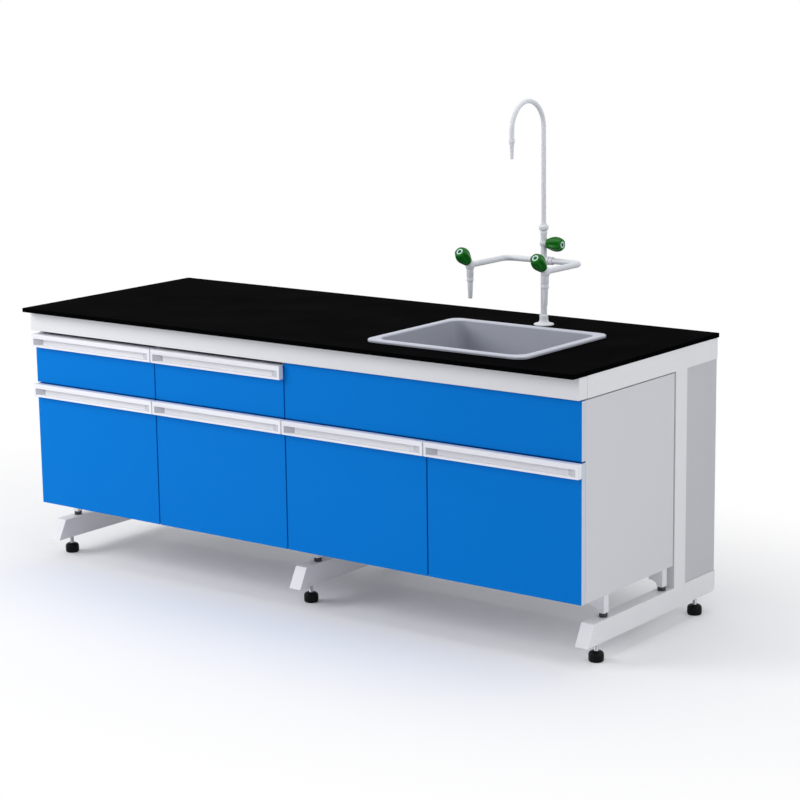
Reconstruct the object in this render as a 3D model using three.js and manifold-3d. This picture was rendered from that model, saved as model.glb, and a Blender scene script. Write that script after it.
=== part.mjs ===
// Laboratory sink unit: a steel C-frame bench with a black worktop, two hung cabinets, a drop-in sink and a tap.
// Millimetres. +X runs along the bench to the right, +Y to the back, +Z up.
// The origin is on the floor, under the middle of the worktop.

import * as THREE from 'three';
import { mergeVertices } from 'three/addons/utils/BufferGeometryUtils.js';
import Module from 'manifold-3d';

const wasm = await Module();
wasm.setup();

// Overall sizes
const benchLength = 2000;
const benchDepth = 750;
const benchHeight = 800;

// Worktop
const worktopThickness = 12.7;
const frontOverhang = 30;
const rearOverhang = 5;
const sideOverhang = 1.5;
const cutoutClearance = 2;
const tapHoleClearance = 2;

// Steel frame
const tubeWidth = 40;
const tubeHeight = 60;
const columnDepth = 60;
const serviceDepth = 168;
const footBeamLift = 55;
const noseSetback = 43;
const noseRake = 32;
const heelRadius = 15;

// Brackets on the foot beams that carry the cabinets
const supportHeight = 65;
const supportDepth = 23;
const supportOuter = 10;
const supportInner = 34;
const supportEar = 36;
const supportNeckHeight = 12;
const supportNeckRadius = 9;
const frontSupportSetback = 150;
const rearSupportSetback = 35;

// Levelling feet
const padRadius = 21;
const padHeight = 30;
const padBevel = 5;
const studRadius = 6;
const studEngagement = 30;
const studClearance = 0.3;
const frontFootSetback = 74;
const rearFootSetback = 78;

// End panels of the service space
const endPanelThickness = 12;
const endPanelRecess = 3;

// Cabinets
const boardThickness = 18;
const backThickness = 9;
const cabinetTopGap = 4.3;
const cabinetEndGap = 2.5;
const cabinetMiddleGap = 4;
const columnGap = 4;
const backBelowBowl = 20;
const pipeHoleClearance = 4;

// Fronts
const frontSetback = 17;
const frontThickness = 18;
const frontGap = 4;
const frontBackGap = 0.5;
const drawerZone = 161;
const drawerTopGap = 7;

// Pull handles
const handleHeight = 40;
const handleReach = 18;
const handleTopLip = 14;
const handleBottomLip = 6;
const handleScoop = 13;
const handleEnd = 8;
const handleSlope = 30;
const handleHook = 6;
const handleLipDepth = 5;

// Hinge arms
const hingeArmWidth = 14;
const hingeArmReach = 12;
const hingeArmLength = 66;
const hingePlateHeight = 46;
const hingePlateThickness = 4;
const hingePlateLength = 24;
const hingeEndDistance = 70;
const hingeDoorGap = 0.4;

// Drawers
const drawerRearGap = 39;
const drawerHeight = 108;
const drawerLift = 14;
const drawerWall = 12;
const drawerBase = 8;
const runnerDepth = 12.7;
const runnerHeight = 36;
const runnerLip = 8;
const runnerWeb = 3;
const runnerFrontInset = 4;
const runnerLift = 34;
const slideClearance = 0.4;

// Sink
const sinkFromRightEnd = 487;
const sinkFromFront = 315;
const sinkRimLength = 532;
const sinkRimDepth = 434;
const sinkRimRadius = 32;
const sinkRimWidth = 24;
const sinkRimHeight = 8;
const sinkRimBevel = 4;
const sinkDepth = 250;
const sinkWall = 5;
const sinkTaper = 14;
const sinkBowlRadius = 42;
const sinkFloorFillet = 22;
const wasteHoleRadius = 26;
const wasteClearance = 0.5;

// Waste fitting and trap
const wasteFlangeRadius = 38;
const wasteFlangeThickness = 3;
const wasteBoreRadius = 15;
const wasteTailRadius = 19;
const wasteTailLength = 62;
const wasteNutRadius = 37;
const wasteNutThickness = 9;
const seatGap = 0.3;
const trapRadius = 34;
const trapHeight = 130;
const trapNeckRadius = 27;
const trapNeckHeight = 34;
const trapSocketDepth = 28;
const trapPipeRadius = 20;
const trapPipeWall = 3;
const trapPipeBore = 70;
const trapPipeDrop = 34;
const trapPipeOverrun = 50;

// Tap
const tapBehindSink = 67;
const tapFlangeRadius = 29;
const tapFlangeThickness = 6;
const tapBossRadius = 12.5;
const tapBossHeight = 28;
const tapColumnRadius = 9;
const tapColumnHeight = 272;
const tapShankRadius = 11;
const tapShankLength = 62;
const tapTeeHeight = 186;
const tapTeeRadius = 12;
const tapTeeReach = 20;
const tapValveHeight = 235;
const tapValveRadius = 10;
const tapValveReach = 13;
const tapBoreDepth = 16;
const spigotRadius = 5;
const armRadius = 8.5;
const armReach = 127;
const armForward = 184;
const armBend = 26;
const armValveRadius = 13;
const armStubReach = 16;
const armStubRadius = 10;
const armKnobTilt = 41;
const nozzleTopRadius = 10;
const nozzleTipRadius = 6;
const nozzleCollar = 38;
const nozzleLength = 96;
const nozzleBoreRadius = 3;
const nozzleBoreDepth = 30;
const spindleRadius = 4;
const spindleLength = 24;
const gooseneckRadius = 6.8;
const gooseneckReach = 159;
const gooseneckArchHeight = 291;
const gooseneckDrop = 20;
const gooseneckCollarRadius = 8.5;
const gooseneckCollarHeight = 12;
const gooseneckTipLength = 44;
const gooseneckTipRadius = 4.2;
const swivelNutRadius = 14;
const swivelNutHeight = 22;
const knobRadius = 20;
const knobBaseRadius = 14;
const knobEndRadius = 16.5;
const knobLength = 50;
const knobLobes = 6;
const knobLobeDepth = 1.2;
const knobClearance = 0.3;

// Levels worked out from the sizes
const worktopBottom = benchHeight - worktopThickness;
const railBottom = worktopBottom - tubeHeight;
const footBeamTop = footBeamLift + tubeHeight;
const cabinetBottom = footBeamTop + supportHeight;
const cabinetTop = railBottom - cabinetTopGap;
const doorTop = cabinetTop - drawerZone - frontGap / 2;
const drawerFrontBottom = doorTop + frontGap;
const drawerFrontTop = cabinetTop - drawerTopGap;

// Places along the length
const frameHalfLength = benchLength / 2 - sideOverhang;
const legCentre = frameHalfLength - tubeWidth / 2;
const cabinetOuter = frameHalfLength - cabinetEndGap;
const cabinetInner = cabinetMiddleGap / 2;
const cabinetMiddle = (cabinetOuter + cabinetInner) / 2;

// Places along the depth
const railFront = -benchDepth / 2 + frontOverhang;
const railBack = railFront + tubeWidth;
const frameRear = benchDepth / 2 - rearOverhang;
const rearRailFront = frameRear - tubeWidth;
const columnRear = frameRear - serviceDepth;
const columnFront = columnRear - columnDepth;
const frontFace = railFront + frontSetback;
const frontBack = frontFace + frontThickness;
const carcassFront = frontBack + frontBackGap;
const carcassRear = columnFront - columnGap;
const backFront = carcassRear - backThickness;
const drawerRear = backFront - drawerRearGap;
const noseBottom = railFront + noseSetback;

// Sink and tap places
const sinkX = benchLength / 2 - sinkFromRightEnd;
const sinkY = -benchDepth / 2 + sinkFromFront;
const bowlLength = sinkRimLength - 2 * sinkRimWidth;
const bowlDepth = sinkRimDepth - 2 * sinkRimWidth;
const sinkTop = benchHeight + sinkRimHeight;
const bowlFloor = sinkTop - sinkDepth;
const bowlUnderside = bowlFloor - sinkWall;
const tapY = sinkY + sinkRimDepth / 2 + tapBehindSink;

// Finishes
function finish(color, roughness, metalness) {
  return new THREE.MeshStandardMaterial({ color, roughness, metalness });
}
const blackBoard = finish(0x0b0c0d, 0.55, 0);
const whiteSteel = finish(0xe4e5e6, 0.4, 0.1);
const greyBoard = finish(0xc6c7ca, 0.6, 0);
const greySheet = finish(0xb0b1b4, 0.55, 0);
const blueBoard = finish(0x006fce, 0.5, 0);
const whitePlastic = finish(0xe8e8ec, 0.45, 0);
const blackRubber = finish(0x0c0c0c, 0.7, 0);
const zincSteel = finish(0xb8babd, 0.35, 0.9);
const greyPlastic = finish(0x9aa0ad, 0.5, 0);
const whiteCoat = finish(0xd8dade, 0.35, 0.1);
const greenPlastic = finish(0x0a5c10, 0.4, 0);

// A closed mesh as a solid for joins and cuts
function toSolid(geometry) {
  const bare = geometry.clone();
  bare.deleteAttribute('normal');
  bare.deleteAttribute('uv');
  const merged = mergeVertices(bare, 1e-3);
  return new wasm.Manifold(new wasm.Mesh({
    numProp: 3,
    vertProperties: new Float32Array(merged.attributes.position.array),
    triVerts: new Uint32Array(merged.index.array),
  }));
}

function toGeometry(solid) {
  const mesh = solid.getMesh();
  const geometry = new THREE.BufferGeometry();
  geometry.setAttribute('position', new THREE.BufferAttribute(mesh.vertProperties, 3));
  geometry.setIndex(new THREE.BufferAttribute(mesh.triVerts, 1));
  geometry.computeVertexNormals();
  return geometry;
}

function join(first, ...others) {
  return toGeometry(others.reduce((whole, piece) => whole.add(toSolid(piece)), toSolid(first)));
}

function cut(body, ...tools) {
  return toGeometry(tools.reduce((whole, tool) => whole.subtract(toSolid(tool)), toSolid(body)));
}

// A box between two corners
function block(low, high) {
  const size = high.map((value, axis) => value - low[axis]);
  const middle = high.map((value, axis) => (value + low[axis]) / 2);
  return new THREE.BoxGeometry(...size).translate(...middle);
}

// A straight extrusion of an outline drawn in the YZ plane, from one X to another
function alongX(outline, fromX, toX) {
  const geometry = new THREE.ExtrudeGeometry(outline, { depth: toX - fromX, bevelEnabled: false });
  return geometry.rotateX(Math.PI / 2).rotateZ(Math.PI / 2).translate(fromX, 0, 0);
}

// A straight extrusion of an outline drawn in the XZ plane, centred on one Y
function alongY(outline, centreY, depth) {
  const geometry = new THREE.ExtrudeGeometry(outline, { depth, bevelEnabled: false });
  return geometry.rotateX(Math.PI / 2).translate(0, centreY + depth / 2, 0);
}

function outlineOf(points) {
  return new THREE.Shape(points.map(([across, up]) => new THREE.Vector2(across, up)));
}

// A round rod along Z between two levels
function rod(radius, fromZ, toZ, sides = 24) {
  const geometry = new THREE.CylinderGeometry(radius, radius, toZ - fromZ, sides);
  return geometry.rotateX(Math.PI / 2).translate(0, 0, (fromZ + toZ) / 2);
}

// A turned piece round Z from [radius, level] points
function turned(points, sides = 24) {
  const profile = points.map(([radius, level]) => new THREE.Vector2(radius, level));
  return new THREE.LatheGeometry(profile, sides).rotateX(Math.PI / 2);
}

// A round tube along a path
function tube(path, radius, steps, sides = 12) {
  const section = new THREE.Shape().absarc(0, 0, radius, 0, 2 * Math.PI, false);
  const options = { steps, extrudePath: path, curveSegments: sides, bevelEnabled: false };
  return new THREE.ExtrudeGeometry(section, options);
}

// A ring of points round a rectangle with round corners; equal half sizes and radius give a circle
const cornerSteps = 6;
function roundedRing(length, depth, radius, level) {
  const ring = [];
  for (let corner = 0; corner < 4; corner += 1) {
    const sideX = corner === 0 || corner === 3 ? 1 : -1;
    const sideY = corner < 2 ? 1 : -1;
    for (let step = 0; step <= cornerSteps; step += 1) {
      const angle = (corner + step / cornerSteps) * Math.PI / 2;
      const x = sideX * (length / 2 - radius) + radius * Math.cos(angle);
      const y = sideY * (depth / 2 - radius) + radius * Math.sin(angle);
      ring.push(new THREE.Vector3(x, y, level));
    }
  }
  return ring;
}

// A closed skin through rings of equal count, either closing on itself or capped at both ends
function skin(rings, closesOnItself) {
  const count = rings[0].length;
  const positions = rings.flat().flatMap((point) => [point.x, point.y, point.z]);
  const triangles = [];
  const bands = closesOnItself ? rings.length : rings.length - 1;
  for (let band = 0; band < bands; band += 1) {
    const lower = band * count;
    const upper = ((band + 1) % rings.length) * count;
    for (let i = 0; i < count; i += 1) {
      const next = (i + 1) % count;
      triangles.push(lower + i, lower + next, upper + next, lower + i, upper + next, upper + i);
    }
  }
  if (!closesOnItself) {
    for (const [start, flip] of [[0, true], [(rings.length - 1) * count, false]]) {
      const ring = rings[start / count];
      const middle = ring.reduce((sum, point) => sum.add(point), new THREE.Vector3()).divideScalar(count);
      const hub = positions.length / 3;
      positions.push(middle.x, middle.y, middle.z);
      for (let i = 0; i < count; i += 1) {
        const next = (i + 1) % count;
        triangles.push(hub, start + (flip ? next : i), start + (flip ? i : next));
      }
    }
  }
  const geometry = new THREE.BufferGeometry();
  geometry.setAttribute('position', new THREE.Float32BufferAttribute(positions, 3));
  geometry.setIndex(triangles);
  return geometry;
}

const unit = new THREE.Group();

function place(parent, name, geometry, material, position = [0, 0, 0]) {
  const mesh = new THREE.Mesh(geometry, material);
  mesh.name = name;
  mesh.position.set(...position);
  parent.add(mesh);
  return mesh;
}

function groupAt(parent, position = [0, 0, 0]) {
  const group = new THREE.Group();
  group.position.set(...position);
  parent.add(group);
  return group;
}

// Worktop with the sink cut-out and the tap hole
function worktopGeometry() {
  const slab = outlineOf([
    [-benchLength / 2, -benchDepth / 2],
    [benchLength / 2, -benchDepth / 2],
    [benchLength / 2, benchDepth / 2],
    [-benchLength / 2, benchDepth / 2],
  ]);
  const grow = 2 * (sinkWall + cutoutClearance);
  const ring = roundedRing(bowlLength + grow, bowlDepth + grow, sinkBowlRadius + grow / 2, 0);
  slab.holes.push(new THREE.Path(ring.map((point) => new THREE.Vector2(point.x + sinkX, point.y + sinkY))));
  slab.holes.push(new THREE.Path().absarc(sinkX, tapY, tapShankRadius + tapHoleClearance, 0, 2 * Math.PI, true));
  return new THREE.ExtrudeGeometry(slab, { depth: worktopThickness, bevelEnabled: false, curveSegments: 24 });
}
place(unit, 'worktop', worktopGeometry(), blackBoard, [0, 0, worktopBottom]);

// Rails along the front and the back
const railLow = [-frameHalfLength, 0, railBottom];
const railHigh = [frameHalfLength, tubeWidth, worktopBottom];
place(unit, 'front_rail', block(railLow, railHigh), whiteSteel, [0, railFront, 0]);
place(unit, 'rear_rail', block(railLow, railHigh), whiteSteel, [0, rearRailFront, 0]);

// Leg frames: foot beam, column and top beam in one outline, with two cabinet brackets and two stud holes
const frontFootY = noseBottom + frontFootSetback;
const rearFootY = frameRear - rearFootSetback;
const frontSupportY = railFront + frontSupportSetback;
const rearSupportY = columnFront - rearSupportSetback;
const studTop = footBeamLift + studEngagement;

function legOutline() {
  const outline = new THREE.Shape();
  outline.moveTo(noseBottom, footBeamLift);
  outline.lineTo(frameRear - heelRadius, footBeamLift);
  outline.absarc(frameRear - heelRadius, footBeamLift + heelRadius, heelRadius, -Math.PI / 2, 0, false);
  outline.lineTo(frameRear, footBeamTop);
  outline.lineTo(columnRear, footBeamTop);
  outline.lineTo(columnRear, railBottom);
  outline.lineTo(rearRailFront, railBottom);
  outline.lineTo(rearRailFront, worktopBottom);
  outline.lineTo(railBack, worktopBottom);
  outline.lineTo(railBack, railBottom);
  outline.lineTo(columnFront, railBottom);
  outline.lineTo(columnFront, footBeamTop);
  outline.lineTo(noseBottom + noseRake, footBeamTop);
  return outline;
}

// A bracket that is straight outside, hollowed inside and stands on a round neck; outside is -1 or 1
function supportGeometry(centreY, outside) {
  const neckTop = footBeamTop + supportNeckHeight;
  const neckInner = supportOuter - 2 * supportNeckRadius;
  const outline = new THREE.Shape();
  outline.moveTo(outside * neckInner, neckTop);
  outline.lineTo(outside * supportOuter, neckTop);
  outline.lineTo(outside * supportOuter, cabinetBottom);
  outline.lineTo(-outside * supportInner, cabinetBottom);
  const earLevel = cabinetBottom - supportEar;
  outline.lineTo(-outside * supportInner, earLevel);
  outline.quadraticCurveTo(outside * neckInner, earLevel, outside * neckInner, neckTop);
  const neck = rod(supportNeckRadius, footBeamTop - seatGap, neckTop + seatGap);
  neck.translate(outside * (supportOuter - supportNeckRadius), centreY, 0);
  return [alongY(outline, centreY, supportDepth), neck];
}

function legGeometry(outside) {
  const beam = alongX(legOutline(), -tubeWidth / 2, tubeWidth / 2);
  const supports = [frontSupportY, rearSupportY].flatMap((y) => supportGeometry(y, outside));
  const whole = join(beam, ...supports);
  const holes = [frontFootY, rearFootY].map((y) => {
    const hole = rod(studRadius + studClearance, footBeamLift - 1, studTop + studClearance);
    return hole.translate(0, y, 0);
  });
  return cut(whole, ...holes);
}

// Levelling foot: pad and stud, the stud's end at the bottom of its hole
function footGeometry() {
  return turned([
    [0, 0],
    [padRadius - padBevel, 0],
    [padRadius, padBevel],
    [padRadius, padHeight - 2 * padBevel],
    [padRadius - padBevel, padHeight - padBevel / 2],
    [2 * studRadius, padHeight],
    [studRadius, padHeight],
    [studRadius, studTop],
    [0, studTop],
  ]);
}

const legPlaces = [['left', -legCentre, -1], ['middle', 0, 1], ['right', legCentre, 1]];
for (const [side, x, outside] of legPlaces) {
  const leg = groupAt(unit, [x, 0, 0]);
  place(leg, `leg_frame_${side}`, legGeometry(outside), whiteSteel);
  place(leg, `levelling_foot_${side}_front`, footGeometry(), blackRubber, [0, frontFootY, 0]);
  place(leg, `levelling_foot_${side}_rear`, footGeometry(), blackRubber, [0, rearFootY, 0]);
}

// End panels between foot beam, column and top beam
const endPanelOuter = frameHalfLength - endPanelRecess;
for (const [side, sign] of [['left', -1], ['right', 1]]) {
  const size = [endPanelThickness, frameRear - columnRear, railBottom - footBeamTop];
  const panel = new THREE.BoxGeometry(...size);
  const x = sign * (endPanelOuter - endPanelThickness / 2);
  const middle = [x, (columnRear + frameRear) / 2, (footBeamTop + railBottom) / 2];
  place(unit, `end_panel_${side}`, panel, greySheet, middle);
}

// Cabinet carcasses
const cabinetSpans = { left: [-cabinetOuter, -cabinetInner], right: [cabinetInner, cabinetOuter] };
const trapPipeLevel = bowlUnderside - wasteTailLength - trapPipeDrop;

function backGeometry(span, topLevel, pipeHole) {
  const width = span[1] - span[0] - 2 * boardThickness;
  const low = cabinetBottom + boardThickness;
  const outline = outlineOf([[-width / 2, low], [width / 2, low], [width / 2, topLevel], [-width / 2, topLevel]]);
  if (pipeHole) {
    const across = sinkX - (span[0] + span[1]) / 2;
    const radius = trapPipeRadius + pipeHoleClearance;
    outline.holes.push(new THREE.Path().absarc(across, trapPipeLevel, radius, 0, 2 * Math.PI, true));
  }
  return alongY(outline, (backFront + carcassRear) / 2, backThickness);
}

for (const [side, span] of Object.entries(cabinetSpans)) {
  const carcass = groupAt(unit);
  const board = (name, low, high) => place(carcass, `${side}_cabinet_${name}`, block(low, high), greyBoard);
  const [start, end] = span;
  board('left_side', [start, carcassFront, cabinetBottom], [start + boardThickness, carcassRear, cabinetTop]);
  board('right_side', [end - boardThickness, carcassFront, cabinetBottom], [end, carcassRear, cabinetTop]);
  const floorTop = cabinetBottom + boardThickness;
  const inside = [start + boardThickness, end - boardThickness];
  board('bottom', [inside[0], carcassFront, cabinetBottom], [inside[1], carcassRear, floorTop]);
  const middle = (start + end) / 2;
  if (side === 'left') {
    const half = boardThickness / 2;
    board('partition', [middle - half, carcassFront, floorTop], [middle + half, backFront, cabinetTop]);
    place(carcass, 'left_cabinet_back', backGeometry(span, cabinetTop, false), greyBoard, [middle, 0, 0]);
  } else {
    const backTop = bowlUnderside - backBelowBowl;
    place(carcass, 'right_cabinet_back', backGeometry(span, backTop, true), greyBoard, [middle, 0, 0]);
  }
}

// Fixed panel in front of the sink
const apronLow = [cabinetInner, frontFace, drawerFrontBottom];
place(unit, 'sink_apron', block(apronLow, [cabinetOuter, carcassFront, cabinetTop]), blueBoard);

// Pull handle: a bar with a scooped finger recess behind its top lip, from 0 to width along X
function handleGeometry(width) {
  const bar = block([0, -handleReach, -handleHeight], [width, 0, 0]);
  const low = -handleHeight + handleBottomLip;
  const mouthTop = -handleTopLip;
  const scoopBack = -handleReach + handleScoop;
  const front = -handleReach - 1;
  const frontEnd = handleEnd - handleSlope / handleScoop;
  const backEnd = handleEnd + handleSlope;
  const mouth = (start, end, y) => [
    new THREE.Vector3(start, y, low),
    new THREE.Vector3(end, y, low),
    new THREE.Vector3(end, y, mouthTop),
    new THREE.Vector3(start, y, mouthTop),
  ];
  const scoop = skin([
    mouth(backEnd, width - backEnd, scoopBack),
    mouth(frontEnd, width - frontEnd, front),
  ], false);
  const hookLow = [backEnd, -handleReach + handleLipDepth, mouthTop - 1];
  const hook = block(hookLow, [width - backEnd, scoopBack, mouthTop + handleHook]);
  return cut(bar, scoop, hook);
}

// Doors and drawer fronts: four columns, two on each cabinet
const columnEdges = [
  [-cabinetOuter, -cabinetMiddle - frontGap / 2],
  [-cabinetMiddle + frontGap / 2, -cabinetInner],
  [cabinetInner, cabinetMiddle - frontGap / 2],
  [cabinetMiddle + frontGap / 2, cabinetOuter],
];

function frontWithHandle(name, edges, low, high) {
  const width = edges[1] - edges[0];
  const front = groupAt(unit, [edges[0], frontFace, high]);
  const panelName = name.endsWith('door') ? name : `${name}_front`;
  place(front, panelName, block([0, 0, low - high], [width, frontThickness, 0]), blueBoard);
  place(front, `${name}_handle`, handleGeometry(width), whitePlastic);
}

const doorNames = [
  'left_cabinet_left_door',
  'left_cabinet_right_door',
  'right_cabinet_left_door',
  'right_cabinet_right_door',
];
doorNames.forEach((name, column) => frontWithHandle(name, columnEdges[column], cabinetBottom, doorTop));

// Hinge arms on the cabinet sides, ending just behind their door
function hingeGeometry(inward) {
  const tip = -carcassFront + frontBack + hingeDoorGap;
  const plateStart = hingeArmLength - hingePlateLength;
  const span = (reach) => [Math.min(0, inward * reach), Math.max(0, inward * reach)];
  const [armLow, armHigh] = span(hingeArmReach);
  const [plateLow, plateHigh] = span(hingePlateThickness);
  const half = hingeArmWidth / 2;
  const arm = block([armLow, tip, -half], [armHigh, hingeArmLength, half]);
  const plateHalf = hingePlateHeight / 2;
  const plate = block([plateLow, plateStart, -plateHalf], [plateHigh, hingeArmLength, plateHalf]);
  return join(arm, plate);
}

doorNames.forEach((name, column) => {
  const hingedLeft = column % 2 === 0;
  const edge = columnEdges[column][hingedLeft ? 0 : 1];
  const inward = hingedLeft ? 1 : -1;
  const face = edge + inward * boardThickness;
  const levels = { upper: doorTop - hingeEndDistance, lower: cabinetBottom + hingeEndDistance };
  for (const [end, level] of Object.entries(levels)) {
    place(unit, `${name}_${end}_hinge_arm`, hingeGeometry(inward), zincSteel, [face, carcassFront, level]);
  }
});

// Drawers: front and handle, a tray with side rails, and a channel runner on each side
const bayEdges = [
  [-cabinetOuter + boardThickness, -cabinetMiddle - boardThickness / 2],
  [-cabinetMiddle + boardThickness / 2, -cabinetInner - boardThickness],
];
const drawerLow = drawerFrontBottom + drawerLift;
const runnerLow = drawerLow + runnerLift;
const runnerHigh = runnerLow + runnerHeight;

function drawerBoxGeometry(bay) {
  const left = bay[0] + runnerDepth + slideClearance;
  const right = bay[1] - runnerDepth - slideClearance;
  const rear = drawerRear;
  const high = drawerLow + drawerHeight;
  const tray = block([left, frontBack, drawerLow], [right, rear, high]);
  const inside = block(
    [left + drawerWall, frontBack + drawerWall, drawerLow + drawerBase],
    [right - drawerWall, rear - drawerWall, high + 1],
  );
  const railLowZ = runnerLow + runnerLip + slideClearance;
  const railHighZ = runnerHigh - runnerLip - slideClearance;
  const railReach = runnerDepth - runnerWeb;
  const railStart = carcassFront + runnerFrontInset;
  const leftRail = block([left - railReach, railStart, railLowZ], [left + 1, rear, railHighZ]);
  const rightRail = block([right - 1, railStart, railLowZ], [right + railReach, rear, railHighZ]);
  const body = join(tray, leftRail, rightRail);
  return cut(body, inside);
}

// A channel that opens towards the drawer
function runnerGeometry(inward) {
  const reach = inward * runnerDepth;
  const web = inward * runnerWeb;
  const start = carcassFront + runnerFrontInset;
  const bar = block(
    [Math.min(0, reach), start, runnerLow],
    [Math.max(0, reach), drawerRear, runnerHigh],
  );
  const groove = block(
    [Math.min(web, reach + inward), start - 1, runnerLow + runnerLip],
    [Math.max(web, reach + inward), drawerRear + 1, runnerHigh - runnerLip],
  );
  return cut(bar, groove);
}

['left_drawer', 'right_drawer'].forEach((name, column) => {
  frontWithHandle(name, columnEdges[column], drawerFrontBottom, drawerFrontTop);
  const bay = bayEdges[column];
  place(unit, `${name}_box`, drawerBoxGeometry(bay), greyBoard);
  place(unit, `${name}_runner_left`, runnerGeometry(1), zincSteel, [bay[0], 0, 0]);
  place(unit, `${name}_runner_right`, runnerGeometry(-1), zincSteel, [bay[1], 0, 0]);
});

// Sink bowl: one skin from the waste hole's lower edge, out, up, over the rim, down inside and back
const sink = groupAt(unit, [sinkX, sinkY, 0]);

function bowlRing(inset, level) {
  const radius = Math.max(sinkBowlRadius - inset, 1);
  return roundedRing(bowlLength - 2 * inset, bowlDepth - 2 * inset, radius, level);
}

function rimRing(inset, level) {
  return roundedRing(sinkRimLength - 2 * inset, sinkRimDepth - 2 * inset, sinkRimRadius - inset, level);
}

function sinkGeometry() {
  const hole = (level) => roundedRing(2 * wasteHoleRadius, 2 * wasteHoleRadius, wasteHoleRadius, level);
  const floorInset = sinkTaper + sinkFloorFillet / 2;
  const filletMiddle = sinkTaper + sinkFloorFillet * (1 - Math.SQRT1_2) / 2;
  return skin([
    hole(bowlUnderside),
    bowlRing(floorInset - sinkWall, bowlUnderside),
    bowlRing(sinkTaper - sinkWall, bowlUnderside + sinkFloorFillet),
    bowlRing(-sinkWall, benchHeight),
    rimRing(0, benchHeight),
    rimRing(0, sinkTop - sinkRimBevel),
    rimRing(sinkRimBevel, sinkTop),
    bowlRing(-sinkRimBevel, sinkTop),
    bowlRing(0, sinkTop - sinkRimBevel),
    bowlRing(sinkTaper, bowlFloor + sinkFloorFillet),
    bowlRing(filletMiddle, bowlFloor + sinkFloorFillet * (1 - Math.SQRT1_2)),
    bowlRing(floorInset, bowlFloor),
    hole(bowlFloor),
  ], true);
}
place(sink, 'sink_bowl', sinkGeometry(), greyPlastic);

// Waste fitting: a flange on the bowl's floor, a nut under it and a tail
const wasteNutTop = bowlUnderside - seatGap;
const wasteNutBottom = wasteNutTop - wasteNutThickness;
const wasteTailEnd = bowlUnderside - wasteTailLength;
const wasteBodyRadius = wasteHoleRadius - wasteClearance;
const wasteGeometry = turned([
  [wasteBoreRadius, wasteTailEnd],
  [wasteTailRadius, wasteTailEnd],
  [wasteTailRadius, wasteNutBottom],
  [wasteNutRadius, wasteNutBottom],
  [wasteNutRadius, wasteNutTop],
  [wasteBodyRadius, wasteNutTop],
  [wasteBodyRadius, bowlFloor + seatGap],
  [wasteFlangeRadius, bowlFloor + seatGap],
  [wasteFlangeRadius - wasteFlangeThickness, bowlFloor + seatGap + wasteFlangeThickness],
  [wasteBoreRadius, bowlFloor + seatGap + wasteFlangeThickness / 2],
  [wasteBoreRadius, wasteTailEnd],
]);
place(sink, 'sink_waste', wasteGeometry, zincSteel);

// Bottle trap: a cup with a socket for the waste tail and a pipe out through the cabinet back
const trapSocketFloor = wasteTailEnd - seatGap;
const trapNeckTop = trapSocketFloor + trapSocketDepth;
const trapTop = trapNeckTop - trapNeckHeight;
const trapPipeEnd = carcassRear + trapPipeOverrun - sinkY;

function trapGeometry() {
  const cup = turned([
    [0, trapTop - trapHeight],
    [trapRadius - padBevel, trapTop - trapHeight],
    [trapRadius, trapTop - trapHeight + padBevel],
    [trapRadius, trapTop],
    [trapNeckRadius, trapTop],
    [trapNeckRadius, trapNeckTop],
    [0, trapNeckTop],
  ]);
  const lying = (radius, from, to) => {
    return rod(radius, from, to).rotateX(-Math.PI / 2).translate(0, 0, trapPipeLevel);
  };
  const socket = rod(wasteTailRadius + wasteClearance, trapSocketFloor, trapNeckTop + 1);
  const bore = lying(trapPipeRadius - trapPipeWall, trapPipeEnd - trapPipeBore, trapPipeEnd + 1);
  return cut(join(cup, lying(trapPipeRadius, 0, trapPipeEnd)), socket, bore);
}
place(sink, 'bottle_trap', trapGeometry(), whitePlastic);

// Tap column with base flange, shank, tee for the arms and the spout valve
const tap = groupAt(unit, [sinkX, tapY, benchHeight]);

function pointingX(geometry, level) {
  return geometry.rotateY(Math.PI / 2).translate(0, 0, level);
}

function columnGeometry() {
  const column = turned([
    [0, -tapShankLength],
    [tapShankRadius, -tapShankLength],
    [tapShankRadius, 0],
    [tapFlangeRadius, 0],
    [tapFlangeRadius, tapFlangeThickness / 2],
    [tapBossRadius + tapFlangeThickness, tapFlangeThickness],
    [tapBossRadius, tapFlangeThickness + tapFlangeThickness / 2],
    [tapBossRadius, tapBossHeight],
    [tapColumnRadius, tapBossHeight + tapBossRadius - tapColumnRadius],
    [tapColumnRadius, tapColumnHeight],
    [spigotRadius + knobClearance, tapColumnHeight],
    [spigotRadius + knobClearance, tapColumnHeight - tapBoreDepth],
    [0, tapColumnHeight - tapBoreDepth],
  ]);
  const tee = pointingX(rod(tapTeeRadius, -tapTeeReach, tapTeeReach), tapTeeHeight);
  const valve = pointingX(rod(tapValveRadius, 0, tapValveReach), tapValveHeight);
  const spindle = pointingX(rod(spindleRadius, 0, tapValveReach + spindleLength), tapValveHeight);
  return join(column, tee, valve, spindle);
}
place(tap, 'tap_column', columnGeometry(), whiteCoat);

// Arm: a tube sideways and forward from the tee, with a valve, a hose nozzle and a knob spindle at its end
const knobTilt = armKnobTilt * Math.PI / 180;

function tilted(geometry) {
  return geometry.rotateX(Math.PI / 2 - knobTilt);
}

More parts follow.
